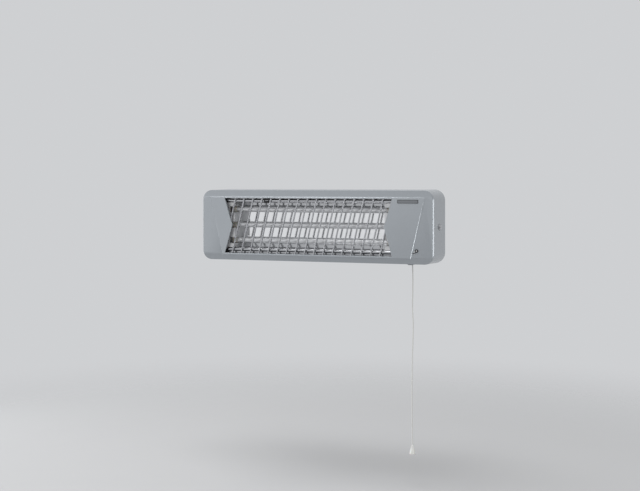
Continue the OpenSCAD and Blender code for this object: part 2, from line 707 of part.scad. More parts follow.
// Pull switch: a box with the slide, cam and contacts inside
module switch_body() color("ivory") difference() {
  union() {
    block(box_x0, box_x1, box_y0, box_y1, box_z0, box_z1);
    block(box_x0 - ear_l, box_x1 + ear_l, cord_y - 4, cord_y + 4, box_z0, box_z0 + ear_t);
  }
  block(box_x0 + box_t, box_x1 - box_t, box_y0 + box_t, box_y1 + 1, box_z0 + box_t, box_z1 - box_t);
  rod_z(box_z0 - 1, box_z0 + box_t + 1, cord_x, cord_y, stem_r + 0.2);
  rod_y(box_y0 - 1, box_y0 + box_t + 1, cam_x, cam_z, cam_pin_r + slip);
  for (x = post_xs) rod_z(box_z0 - 1, box_z0 + ear_t + 1, x, cord_y, 1.6);
}

module switch_cover() color("ivory") difference() {
  block(box_x0, box_x1, box_y1 + seat, box_y1 + seat + 2, box_z0, box_z1);
  rod_y(box_y1 - 1, box_y1 + 4, cam_x, cam_z, cam_pin_r + slip);
  for (i = [0:2]) block(box_x0 + 4, box_x0 + 9, box_y1 - 1, box_y1 + 4,
    box_z1 - 8 - i * 9, box_z1 - 6.8 - i * 9);
}

module switch_screws() color("silver") for (x = post_xs) {
  rod_z(box_z0 + ear_t, box_z0 + ear_t + 2, x, cord_y, 2.8);
  rod_z(box_z0 - 9, box_z0 + ear_t, x, cord_y, 1.2);
}

// Three brass contact blades that stand through slots of the switch cover
module switch_contacts() color("goldenrod") for (i = [0:2]) {
  block(box_x0 + 4.2, box_x0 + 8.8, box_y1 - 6, box_y1 + 9, box_z1 - 7.8 - i * 9, box_z1 - 7 - i * 9);
  block(box_x0 + box_t, box_x0 + 4.2, box_y1 - 6, box_y1 - 0.2, box_z1 - 7.8 - i * 9,
    box_z1 - 7 - i * 9);
}

module cam_pin() color("silver") rod_y(box_y0, box_y1 + seat + 2, cam_x, cam_z, cam_pin_r);

module switch_spring() color("silver") difference() {
  rod_z(box_z0 + box_t + seat, collar_z - seat, cord_x, cord_y, 4.2);
  rod_z(box_z0, collar_z + 1, cord_x, cord_y, 3.2);
}

module switch_slide() color("gainsboro") difference() {
  union() {
    rod_z(eye_z + 2.6, collar_z, cord_x, cord_y, stem_r);
    rod_z(collar_z, collar_z + 1.5, cord_x, cord_y, 4);
    block(cord_x - 2, cord_x + 2.4, cord_y - 3, cord_y + 3, collar_z + 1.5, box_z1 - box_t - 1);
    block(cord_x - 0.8, cord_x + 0.8, cord_y - 2, cord_y + 2, eye_z, eye_z + 6.5);
    rod_x(cord_x - 0.8, cord_x + 0.8, cord_y, eye_z, 2);
  }
  rod_x(cord_x - 3, cord_x + 3, cord_y, eye_z, 0.8);
}

// Ratchet wheel with saw teeth and a round hub
module switch_cam() color("orangered") translate([cam_x, 0, cam_z]) difference() {
  union() {
    along_y(cord_y - 3, cord_y + 3) polygon([for (i = [0:7]) each
      [[cam_r * cos(45 * i), cam_r * sin(45 * i)],
       [(cam_r - 1.6) * cos(45 * i + 6), (cam_r - 1.6) * sin(45 * i + 6)]]]);
    rod_y(box_y0 + box_t + gap, box_y1 - gap, 0, 0, 3);
  }
  rod_y(box_y0, box_y1 + 1, 0, 0, cam_pin_r + slip);
}

// Slotted guide in the bottom of the housing, long enough for the cord when the housing tilts
guide_top = floor_z + shell_t + 1;
guide_low = -half_h - flare(cord_y + guide_r + 2) - slip;
module cord_guide() color("gainsboro") difference() {
  union() {
    along_z(guide_low, guide_top) obround([cord_x, cord_y], [cord_x, guide_y0], guide_r);
    along_z(guide_low - 1.2, guide_low) obround([cord_x, cord_y], [cord_x, guide_y0], guide_r + 1.3);
  }
  along_z(guide_low - 3, guide_top + 1) obround([cord_x, cord_y], [cord_x, guide_y0], slot_r);
}

// Leads inside the housing
lead_r = 1.3;
module lead(points, side) swept_tube(smooth(points, 3), lead_r, 8, side);
lead_z = back_z + 16;
lead_y = mirror_y + 9;
left_x = heat_x - nut_x - 1.6;
module lead_common() color("royalblue") lead([
  [block_x - block_w / 2 - 0.3, cover_y - block_d / 2, block_z],
  [block_x - block_w / 2 - 8, cover_y - block_d / 2 - 2, block_z + 4],
  [heat_x + end_x + 3, lead_y + 3, lead_z - 2], [heat_x + end_x * 0.68, lead_y + 1, lead_z],
  [heat_x + end_x * 0.34, lead_y, lead_z], [heat_x, lead_y, lead_z - 1],
  [heat_x - end_x * 0.34, lead_y, lead_z], [heat_x - end_x * 0.68, lead_y, lead_z],
  [heat_x - end_x - 3, lead_y - 1, lead_z - 2], [heat_x - back_x - 4, mirror_y + 2, lead_z - 6],
  [left_x, tube_y + 8, tube_pitch + 11.2], [left_x, tube_y + 0.5, tube_pitch + 3.6]], [0.3, 0, 1]);

module leads_switched() color("saddlebrown") for (i = [0:2]) {
  bz = box_z1 - 7.4 - i * 9;
  x = heat_x + tag_x + 1.6;
  y = tube_y + 4 + lug_l;
  z = tube_zs[i];
  lead([[box_x0 + 6.5, box_y1 + 9.3, bz], [box_x0 + 6.5, box_y1 + 12, bz],
    [box_x0 + 2, box_y1 + 14, bz * 0.8 + z * 0.2], [box_x0 - 5, box_y1 + 7, bz * 0.3 + z * 0.7],
    [x + 9, mirror_y - 2.5, z], [x + 2.5, mirror_y - 4, z], [x, y + 1.8, z], [x, y + 0.5, z]],
    [0, 0.2, 1]);
}

module lead_live() color("dimgray") lead([
  [block_x - block_w / 2 - 0.3, cover_y - block_d / 2, block_z - 10],
  [block_x - block_w / 2 - 3, cover_y - block_d / 2, block_z - 10],
  [block_x - block_w / 2 - 10, cover_y - block_d / 2 - 3, block_z - 13],
  [box_x0 + 5, box_y1 + 3, box_z1 + 11], [box_x0 + 8, box_y1 - 4, box_z1 + 6],
  [box_x0 + 9, box_y1 - 6, box_z1 + 2], [box_x0 + 9, box_y1 - 6, box_z1 + 0.3]], [1, 0.3, 0.1]);

// The cord hangs from a forked ferrule pinned to the tongue of the switch slide
module cord_ferrule() color("silver") difference() {
  union() {
    for (s = [-1, 1]) {
      x0 = min(cord_x + s * 1, cord_x + s * 2.1);
      block(x0, x0 + 1.1, cord_y - 2, cord_y + 2, eye_z - 3, eye_z);
      rod_x(x0, x0 + 1.1, cord_y, eye_z, 2);
    }
    rod_z(cord_top_z, eye_z - 2.6, cord_x, cord_y, 2.5);
  }
  rod_x(cord_x - 3, cord_x + 3, cord_y, eye_z, 0.75);
}

module ferrule_pin() color("gray") rod_x(cord_x - 2.4, cord_x + 2.4, cord_y, eye_z, 0.74);

module pull_cord() color("white")
  swept_tube(smooth([for (p = cord_route) [cord_x + p[0], cord_y, cord_top_z + p[1]]], 4),
    cord_d / 2, 8, [0, 1, 0]);

module cord_knot() color("white") translate([cord_x, cord_y, cord_end_z - knot_h])
  rotate_extrude() polygon([[0, 0], [1.2, 0.1], [2, 0.9], [2.2, 1.7], [2, 2.6], [1.2, knot_h],
    [0, knot_h]]);

// Bell-shaped knob: the cord runs through its neck and the knot sits in its hollow
module pull_knob() color("white") translate([cord_x, cord_y, knob_top_z]) rotate_extrude()
  polygon([[cord_d / 2 + 0.15, 0], [2, 0], [2.5, -0.6], [knob_d * 0.27, -knob_h * 0.25],
    [knob_d * 0.4, -knob_h * 0.6], [knob_d * 0.49, -knob_h * 0.85], [knob_d / 2, -knob_h * 0.92],
    [knob_d * 0.48, -knob_h], [knob_d / 2 - 2, -knob_h], [2.5, -4.4], [cord_d / 2 + 0.15, -4]]);

wall_bracket();
pivot_screws();
pivot_washers();
pivot_nuts();
pivot_bushes();
front_shell();
rear_cover();
rear_cover_screws();
name_plate();
reflector();
reflector_end_left();
reflector_end_right();
reflector_rivets();
reflector_screws();
guard_wires();
guard_rods();
guard_clip();
quartz_tube_top();
quartz_tube_middle();
quartz_tube_bottom();
heating_coil_top();
heating_coil_middle();
heating_coil_bottom();
tube_caps_left();
tube_caps_right();
tube_holder_left();
tube_holder_right();
holder_screws();
tube_studs();
stud_nuts();
link_bar();
lead_lugs();
terminal_block();
terminal_screws();
cable_gland();
gland_nut();
cord_clamp();
clamp_screws();
switch_body();
switch_cover();
switch_screws();
switch_contacts();
cam_pin();
switch_spring();
switch_slide();
switch_cam();
cord_guide();
lead_common();
leads_switched();
lead_live();
cord_ferrule();
ferrule_pin();
pull_cord();
cord_knot();
pull_knob();
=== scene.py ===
"""Looks of a wall-mounted infrared heater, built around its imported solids.

Metres, +X right, +Y to the wall, +Z up."""
from math import copysign, cos, pi, radians, sin

import bmesh
import bpy
from bpy.props import FloatProperty, FloatVectorProperty, IntProperty, PointerProperty
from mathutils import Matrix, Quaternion, Vector


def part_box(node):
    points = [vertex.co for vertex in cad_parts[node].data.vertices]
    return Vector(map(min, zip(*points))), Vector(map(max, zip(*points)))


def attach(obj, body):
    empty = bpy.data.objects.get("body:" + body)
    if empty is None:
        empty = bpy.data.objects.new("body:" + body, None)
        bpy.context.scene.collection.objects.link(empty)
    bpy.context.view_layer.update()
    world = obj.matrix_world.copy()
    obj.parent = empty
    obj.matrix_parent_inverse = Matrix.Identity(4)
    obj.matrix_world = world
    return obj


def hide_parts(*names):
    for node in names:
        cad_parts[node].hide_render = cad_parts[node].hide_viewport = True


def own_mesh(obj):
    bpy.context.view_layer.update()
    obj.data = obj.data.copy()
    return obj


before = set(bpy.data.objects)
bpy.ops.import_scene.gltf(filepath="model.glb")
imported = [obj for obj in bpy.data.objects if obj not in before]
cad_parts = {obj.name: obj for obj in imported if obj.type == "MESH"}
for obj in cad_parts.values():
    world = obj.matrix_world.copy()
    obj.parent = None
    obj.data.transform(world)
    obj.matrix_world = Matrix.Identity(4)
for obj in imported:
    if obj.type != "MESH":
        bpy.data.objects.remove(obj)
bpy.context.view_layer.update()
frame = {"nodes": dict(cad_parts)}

bl_info = {
    "name": "Infrared wall heater",
    "version": (1, 0, 0),
    "blender": (4, 5, 0),
    "location": "3D View > Sidebar > Heater",
    "description": "Dresses the solids of a wall-mounted infrared heater and sets its stage",
    "category": "Object",
}

MM = 0.001


# ---- Properties

def colour(name, description, default):
    return FloatVectorProperty(
        name=name, description=description, default=default, size=3, min=0.0, max=1.0, subtype="COLOR")


def length(name, description, default, low, high):
    return FloatProperty(
        name=name, description=description, default=default, min=low, max=high, subtype="DISTANCE",
        unit="LENGTH", precision=5)


def share(name, description, default):
    return FloatProperty(
        name=name, description=description, default=default, min=0.0, max=1.0, subtype="FACTOR")


def power(name, description, default, high):
    return FloatProperty(name=name, description=description, default=default, min=0.0, max=high, unit="POWER")


class HousingLook(bpy.types.PropertyGroup):
    paint: colour("Paint", "Silver-grey of the housing's satin paint", (0.365, 0.39, 0.415))
    gloss: share("Paint roughness", "How soft the paint's reflections are", 0.24)
    metal: share("Metallic share", "How much of the paint's light comes back as from metal", 0.5)
    rim: length("Rim radius", "Rounding at both sides of the chamfer round the front", 0.0005, 0.0001, 0.001)
    edge: length("Panel edge radius", "Rounding of the raised panel's upper and lower edge", 0.001, 0.0001, 0.0012)
    lip: length("Lip radius", "Rounding of the window's edges", 0.0005, 0.0001, 0.001)
    side_edge: length("Side edge radius", "Rounding of the raised panel's slanted sides", 0.0002, 0.0001, 0.0012)
    slope: length("Panel slope", "How far the sides of the raised panel run out", 0.0014, 0.0, 0.003)
    plate: colour("Name plate", "Grey of the bare plate at the upper right", (0.21, 0.22, 0.235))
    frame: colour("Plate frame", "Dark grey of the frame round the bare plate", (0.015, 0.016, 0.018))
    ink: colour("Sign ink", "Dark grey of the printed pull sign", (0.02, 0.02, 0.023))
    light_ink: colour("Light ink", "White of the printed pull sign", (0.75, 0.76, 0.77))


class MetalLook(bpy.types.PropertyGroup):
    chrome: colour("Chrome", "Tint of the guard's bright plating", (0.36, 0.365, 0.38))
    mirror: colour("Mirror", "Tint of the polished reflector", (0.73, 0.735, 0.745))
    # The rims' tint is painted shade: darker than the mirror to stand for the dark surroundings the rims reflect, not
    # dulled by heat
    rim: colour("Reflector rims", "Tint of the rolled rims, which the heat has dulled", (0.43, 0.435, 0.45))
    zinc: colour("Zinc", "Tint of the plated bracket and holders", (0.55, 0.57, 0.6))
    screw: colour("Screws", "Tint of the screws, nuts and studs", (0.6, 0.6, 0.61))
    brass: colour("Brass", "Tint of the link bar, lugs and contacts", (0.72, 0.53, 0.23))
    black_spring: colour("Spring clip", "Blackened steel of the clip", (0.012, 0.012, 0.013))
    coil: colour("Heating wire", "Oxidised resistance wire", (0.24, 0.225, 0.21))


class GlassAndCeramicLook(bpy.types.PropertyGroup):
    quartz: colour("Quartz", "Milky quartz of the tubes", (0.74, 0.75, 0.77))
    clearness: share("Clearness", "How much light goes through the quartz", 0.12)
    sheen: share("Sheen", "How much of the light the fired surface throws back", 0.35)
    ceramic: colour("Ceramic", "Unglazed ceramic of the tube caps", (0.8, 0.77, 0.7))


class PlasticLook(bpy.types.PropertyGroup):
    ivory: colour("Ivory", "Moulded plastic of the switch and terminals", (0.74, 0.71, 0.62))
    grey: colour("Grey", "Moulded plastic of the guide, bushes and slide", (0.36, 0.375, 0.39))
    black: colour("Black", "Moulded plastic of the cable gland", (0.02, 0.02, 0.022))
    red: colour("Red", "Moulded plastic of the ratchet wheel", (0.5, 0.06, 0.03))
    knob: colour("Knob", "Glossy white plastic of the knob", (0.82, 0.82, 0.8))


class WireLook(bpy.types.PropertyGroup):
    cord: colour("Cord", "White yarn of the pull cord", (0.8, 0.8, 0.78))
    strands: IntProperty(name="Strands", description="Strands laid round the pull cord", default=4, min=3, max=8)
    lay: length("Lay", "Length of one turn of the cord's strands", 0.0075, 0.004, 0.02)
    blue: colour("Common lead", "Insulation of the lead to the link bar", (0.02, 0.08, 0.4))
    brown: colour("Switched leads", "Insulation of the leads to the tubes", (0.13, 0.05, 0.02))
    black: colour("Live lead", "Insulation of the lead to the switch", (0.02, 0.02, 0.02))
    coil_pitch: length("Coil pitch", "Distance from turn to turn of the heating coils", 0.0016, 0.001, 0.004)
    spring_turns: IntProperty(name="Spring turns", description="Turns of the switch spring", default=6, min=3, max=12)


class StageLook(bpy.types.PropertyGroup):
    backdrop: colour("Backdrop", "Pale grey behind the heater", (0.62, 0.63, 0.645))
    floor: colour("Floor", "Pale grey of the floor", (0.56, 0.565, 0.575))
    floor_drop: length("Floor drop", "Distance from the knob to the floor", 0.06, 0.0, 1.0)
    sky: FloatProperty(
        name="Room light", description="Level of the light from all round", default=0.42, min=0.0, max=2.0)
    card: power("Front card", "Power of the broad card that the mirror shows", 0.36, 100.0)
    key: power("Front strip", "Power of the bright strip above the card", 0.45, 100.0)
    top: power("Top light", "Power of the softbox above", 40.0, 500.0)
    side: power("Side light", "Power of the softbox at the left", 9.0, 500.0)
    edge: power("Edge light", "Power of the strip that the front's right edge shows", 0.21, 20.0)
    crease: power("Crease light", "Power of the strip that the panel's right side shows", 0.15, 20.0)
    rim: power("Rim light", "Power of the strip at the left", 1.1, 200.0)


# ---- Finishes

def node_of(tree, kind, **values):
    made = tree.nodes.new(kind)
    for name, value in values.items():
        if name in made.inputs:
            made.inputs[name].default_value = value
        else:
            setattr(made, name, value)
    return made


def opaque(tint):
    return tuple(tint) + (1.0,)


def shade(tint, factor):
    return tuple(min(1.0, c * factor) for c in tint)


def finish(name, tint, rough, metal=0.0, mottle=0.06, size=6.0, stretch=(1, 1, 1), grain=0.6, bump=0.04,
           rough_spread=0.12, specks=None, **sockets):
    """A finish whose tint, gloss and surface vary. size is the width of its patches and grain that of its surface
    texture, in millimetres; stretch draws both out; specks is (size in mm, share, tint) of flakes or pits."""
    material = bpy.data.materials.new(name + "_finish")
    material.use_nodes = True
    tree = material.node_tree
    link = tree.links.new
    shader = tree.nodes["Principled BSDF"]
    shader.inputs["Metallic"].default_value = metal
    for socket, value in sockets.items():
        shader.inputs[socket.replace("_", " ")].default_value = value
    where = node_of(tree, "ShaderNodeTexCoord")
    along = node_of(tree, "ShaderNodeMapping", Scale=stretch)
    link(where.outputs["Object"], along.inputs["Vector"])
    patches = node_of(tree, "ShaderNodeTexNoise", Scale=1.0 / (size * MM), Detail=4.0, Roughness=0.6)
    link(along.outputs["Vector"], patches.inputs["Vector"])
    tone = node_of(tree, "ShaderNodeMix", data_type="RGBA")
    tone.inputs["A"].default_value = opaque(shade(tint, 1 - mottle))
    tone.inputs["B"].default_value = opaque(shade(tint, 1 + mottle))
    link(patches.outputs["Fac"], tone.inputs["Factor"])
    base = tone.outputs["Result"]
    if specks:
        speck_size, speck_share, speck_tint = specks
        cells = node_of(tree, "ShaderNodeTexVoronoi", Scale=1.0 / (speck_size * MM))
        link(along.outputs["Vector"], cells.inputs["Vector"])
        picked = node_of(tree, "ShaderNodeMapRange")
        picked.inputs["From Min"].default_value = 1.0 - speck_share
        picked.inputs["From Max"].default_value = 1.0
        link(cells.outputs["Color"], picked.inputs["Value"])
        flecked = node_of(tree, "ShaderNodeMix", data_type="RGBA")
        flecked.inputs["B"].default_value = opaque(speck_tint)
        link(base, flecked.inputs["A"])
        link(picked.outputs["Result"], flecked.inputs["Factor"])
        base = flecked.outputs["Result"]
    link(base, shader.inputs["Base Color"])
    gloss = node_of(tree, "ShaderNodeMapRange")
    gloss.inputs["To Min"].default_value = max(0.02, rough * (1 - rough_spread))
    gloss.inputs["To Max"].default_value = min(1.0, rough * (1 + rough_spread))
    link(patches.outputs["Fac"], gloss.inputs["Value"])
    link(gloss.outputs["Result"], shader.inputs["Roughness"])
    texture = node_of(tree, "ShaderNodeTexNoise", Scale=1.0 / (grain * MM), Detail=3.0, Roughness=0.55)
    link(along.outputs["Vector"], texture.inputs["Vector"])
    relief = node_of(tree, "ShaderNodeBump", Strength=bump, Distance=0.0004)
    link(texture.outputs["Fac"], relief.inputs["Height"])
    link(relief.outputs["Normal"], shader.inputs["Normal"])
    return material


def place_in(tree):
    """Where a finish of this script takes its place from."""
    return next(n for n in tree.nodes if n.bl_idname == "ShaderNodeTexCoord").outputs["Object"]


def made_once(name, build):
    """The finish of that name, built only if it isn't there yet."""
    return bpy.data.materials.get(name + "_finish") or build()


def housing_paint(look):
    return made_once("housing_paint", lambda: finish(
        "housing_paint", look.paint, look.gloss, metal=look.metal, mottle=0.025, size=40, grain=0.9, bump=0.05,
        rough_spread=0.08, specks=(0.22, 0.45, shade(look.paint, 1.28)),
        Coat_Weight=0.15, Coat_Roughness=0.22))


def screw_steel():
    look = bpy.context.scene.heater_metal
    return made_once("screw_steel", lambda: finish(
        "screw_steel", look.screw, 0.3, metal=1.0, mottle=0.12, size=1.5, grain=0.25, bump=0.08, rough_spread=0.3))


def zinc_plate():
    look = bpy.context.scene.heater_metal
    return made_once("zinc_plate", lambda: finish(
        "zinc_plate", look.zinc, 0.36, metal=1.0, mottle=0.14, size=9, grain=0.5, bump=0.05, rough_spread=0.3,
        specks=(2.4, 0.5, shade(look.zinc, 1.18))))


def brass_plate():
    look = bpy.context.scene.heater_metal
    return made_once("brass", lambda: finish(
        "brass", look.brass, 0.3, metal=1.0, mottle=0.18, size=3, grain=0.35, bump=0.06, rough_spread=0.3))


def ivory_plastic():
    look = bpy.context.scene.heater_plastic
    return made_once("ivory_plastic", lambda: finish(
        "ivory_plastic", look.ivory, 0.48, mottle=0.04, size=7, grain=0.35, bump=0.08, Subsurface_Weight=0.05,
        Subsurface_Scale=0.002))


def grey_plastic():
    look = bpy.context.scene.heater_plastic
    return made_once("grey_plastic", lambda: finish(
        "grey_plastic", look.grey, 0.45, mottle=0.06, size=4, grain=0.3, bump=0.1))


# ---- Making pieces

# Points closer together than WELD become one; SHEET_EDGE rounds the edges of a cut sheet
WELD = 0.002 * MM
SHEET_EDGE = 0.3 * MM


def even_shading(piece):
    even = piece.modifiers.new("even_shading", "WEIGHTED_NORMAL")
    even.keep_sharp, even.weight = True, 80


def wear(node, material, edge=0.0):
    """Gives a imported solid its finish, and rounds its sharp edges by edge."""
    solid = frame["nodes"][node]
    solid.data.materials.clear()
    solid.data.materials.append(material)
    if edge:
        weld = solid.modifiers.new("join", "WELD")
        weld.merge_threshold = WELD
        flat = solid.modifiers.new("flat_faces", "DECIMATE")
        flat.decimate_type, flat.angle_limit = "DISSOLVE", radians(0.5)
        bevel = solid.modifiers.new("edges", "BEVEL")
        bevel.width, bevel.segments, bevel.limit_method = edge, 2, "ANGLE"
        bevel.angle_limit, bevel.use_clamp_overlap, bevel.harden_normals = radians(28), True, True
        even_shading(solid)
    return solid


def wear_all(material, *nodes):
    for node in nodes:
        wear(node, material)


def new_piece(name, mesh, material, body, slot, *stands_for):
    """A piece that rides on a body and takes the place of the nodes it stands for."""
    piece = bpy.data.objects.new(name, mesh)
    bpy.context.scene.collection.objects.link(piece)
    mesh.materials.clear()
    mesh.materials.append(material)
    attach(piece, body)
    if stands_for:
        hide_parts(*stands_for)
    return piece


def mesh_of(name, points, faces, smooth=True):
    mesh = bpy.data.meshes.new(name)
    mesh.from_pydata([tuple(p) for p in points], [], faces)
    mesh.polygons.foreach_set("use_smooth", [smooth] * len(mesh.polygons))
    mesh.validate()
    return mesh


def tube_mesh(name, points, radius, sides):
    """A closed tube along points; radius is a number or a function of the point's number and the angle round it."""
    rings, faces = [], []
    # Any direction does that the tube doesn't start along, as each ring takes its own from the one before
    side = Vector((0.13, 0.31, 0.94))
    for i, p in enumerate(points):
        ahead = (points[min(i + 1, len(points) - 1)] - points[max(i - 1, 0)]).normalized()
        side = (side - ahead * side.dot(ahead)).normalized()
        up = ahead.cross(side)
        for k in range(sides):
            a = 2 * pi * k / sides
            r = radius(i, a) if callable(radius) else radius
            rings.append(p + (side * cos(a) + up * sin(a)) * r)
    for i in range(len(points) - 1):
        for k in range(sides):
            a, b = i * sides + k, i * sides + (k + 1) % sides
            faces.append((a, b, b + sides, a + sides))
    last = (len(points) - 1) * sides
    faces.append(tuple(reversed(range(sides))))
    faces.append(tuple(range(last, last + sides)))
    return mesh_of(name, rings, faces)


def joined(name, parts):
    """One smooth mesh made of several, which are used up."""
    form = bmesh.new()
    for part in parts:
        form.from_mesh(part)
        bpy.data.meshes.remove(part)
    mesh = bpy.data.meshes.new(name)
    form.to_mesh(mesh)
    form.free()
    mesh.polygons.foreach_set("use_smooth", [True] * len(mesh.polygons))
    return mesh


def smooth_line(points, steps):
    """Points on a smooth curve through points given in millimetres, in metres."""
    p = [Vector(q) * MM for q in points]
    line = []
    for i in range(len(p) - 1):
        a, b, c, d = p[max(i - 1, 0)], p[i], p[i + 1], p[min(i + 2, len(p) - 1)]
        for k in range(steps):
            t = k / steps
            line.append(0.5 * (2 * b + (c - a) * t + (2 * a - 5 * b + 4 * c - d) * t * t
                               + (3 * b - a - 3 * c + d) * t ** 3))
    return line + [p[-1]]


def helix(axis_point, along, across, radius, run, turns, steps):
    """Points of a helix that starts at axis_point and runs along its axis."""
    up = along.cross(across)
    count = int(turns * steps)
    return [axis_point + along * (run * i / count)
            + (across * cos(2 * pi * i / steps) + up * sin(2 * pi * i / steps)) * radius
            for i in range(count + 1)]


def rounded_copy(node, name, material, body, slot, ease, rounds):
    """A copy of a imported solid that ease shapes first; rounds lists (radius, segments, which edges)."""
    form = bmesh.new()
    form.from_mesh(frame["nodes"][node].data)
    bmesh.ops.remove_doubles(form, verts=form.verts, dist=WELD)
    bmesh.ops.dissolve_limit(form, angle_limit=radians(0.4), verts=form.verts, edges=form.edges)
    form.normal_update()
    ease(form)
    form.normal_update()
    for radius, segments, picked in rounds:
        edges = [e for e in form.edges if len(e.link_faces) == 2 and e.is_convex
                 and e.calc_face_angle(0) > radians(25) and picked((e.verts[0].co + e.verts[1].co) / 2)]
        bmesh.ops.bevel(form, geom=edges, offset=radius, offset_type="OFFSET", segments=segments, profile=0.5,
                        affect="EDGES", clamp_overlap=True)
    mesh = bpy.data.meshes.new(name)
    form.to_mesh(mesh)
    form.free()
    mesh.polygons.foreach_set("use_smooth", [True] * len(mesh.polygons))
    mesh.set_sharp_from_angle(angle=radians(30))
    even_shading(new_piece(name, mesh, material, body, slot, node))


# ---- Steps

class HeaterStep(bpy.types.Operator):
    """What the steps share"""
    bl_options = {"REGISTER", "UNDO"}


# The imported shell's front: the window's box, how far from the middle the raised panel's sides with their feet and
# the rim's chamfer begin, how deep the feet and the chamfer lie, and the width of the bend at the rear
WINDOW_X, WINDOW_Z = (-0.1795, 0.1495), (-0.0525, 0.051)
SIDE_X, FOOT_X = 0.185, 0.18
RIM_X, RIM_Z = 0.2185, 0.0595
FOOT_DEPTH, RIM_DEPTH = 2.5 * MM, (1.1 * MM, 3.3 * MM)
REAR_BEND = 2.2 * MM
# How far a point may lie off a flat face that it belongs to
FLAT = 0.05 * MM


class HEATER_OT_front_shell(HeaterStep):
    """Makes the housing from its solid, with rounded pressed edges and satin silver paint"""
    bl_idname = "heater.front_shell"
    bl_label = "Housing"

    def execute(self, context):
        look = context.scene.heater_housing
        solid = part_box("front_shell")
        front, rear = solid[0].y, solid[1].y

        def on_front(p):
            return p.y < front + FLAT

        def in_window(p):
            return WINDOW_X[0] < p.x < WINDOW_X[1] and WINDOW_Z[0] < p.z < WINDOW_Z[1]

        def round_window(p):
            return on_front(p) and in_window(p)

        def round_sides(p):
            return on_front(p) and abs(p.x) > SIDE_X

        def round_panel(p):
            return on_front(p) and not in_window(p) and not round_sides(p)

        def round_rim(p):
            around = abs(p.x) > RIM_X or abs(p.z) > RIM_Z
            return front + RIM_DEPTH[0] < p.y < front + RIM_DEPTH[1] and around

        def round_rear(p):
            return p.y > rear - FLAT or abs(p.x) > solid[1].x - REAR_BEND

        def slope_panel(form):
            """Runs the foot of the raised panel's sides out, so that they slope."""
            feet = {v for f in form.faces if abs(f.normal.x) > 0.9
                    and all(abs(v.co.x) > FOOT_X and v.co.y < front + FOOT_DEPTH for v in f.verts)
                    for v in f.verts if not on_front(v.co)}
            rise = min(v.co.y for v in feet) - front
            for v in feet:
                v.co.x += copysign(look.slope, v.co.x) * (v.co.y - front) / rise

        rounded_copy("front_shell", "housing_shell", housing_paint(look), "housing", "housing_paint", slope_panel, [
            (look.rim, 3, round_rim), (look.edge, 4, round_panel), (look.side_edge, 3, round_sides),
            (look.lip, 3, round_window), (SHEET_EDGE, 2, round_rear)])
        return {"FINISHED"}


class HEATER_OT_rear_cover(HeaterStep):
    """Paints the rear cover and plates its screws"""
    bl_idname = "heater.rear_cover"
    bl_label = "Rear cover"

    def execute(self, context):
        wear("rear_cover", housing_paint(context.scene.heater_housing), SHEET_EDGE)
        wear("rear_cover_screws", screw_steel())
        return {"FINISHED"}


class HEATER_OT_wall_bracket(HeaterStep):
    """Plates the wall bracket and finishes its pivots"""
    bl_idname = "heater.wall_bracket"
    bl_label = "Wall bracket"

    def execute(self, context):
        wear("wall_bracket", zinc_plate(), SHEET_EDGE)
        wear_all(screw_steel(), "pivot_screws", "pivot_washers", "pivot_nuts")
        wear("pivot_bushes", grey_plastic())
        return {"FINISHED"}


# The name plate's half width and height, its frame's width and rounding, and how far the print stands out and in
PLATE_HALF_X, PLATE_HALF_Z = 19 * MM, 3.15 * MM
PLATE_RIM, PLATE_ROUND = 0.7 * MM, 0.15 * MM
PRINT_RAISED, PRINT_SUNK = 0.12 * MM, 0.02 * MM

# Printed arcs of the pull sign: name, ink, x and z of the centre in metres, outer and inner radius in millimetres,
# first and last angle in degrees clockwise from the top, and steps
SIGN_ARCS = [
    ("pull_sign_ring", "ink", (0.1938, -0.0412), 3.1, 1.1, 0, 354, 40),
    ("pull_sign_eye", "light_ink", (0.1938, -0.0412), 1.05, 0.05, 0, 354, 24),
    ("pull_sign_tail", "ink", (0.1886, -0.0397), 6.6, 5.3, 150, 205, 14),
    ("pull_sign_cord", "light_ink", (0.1975, -0.0437), 8.1, 7.3, 245, 290, 10),
]


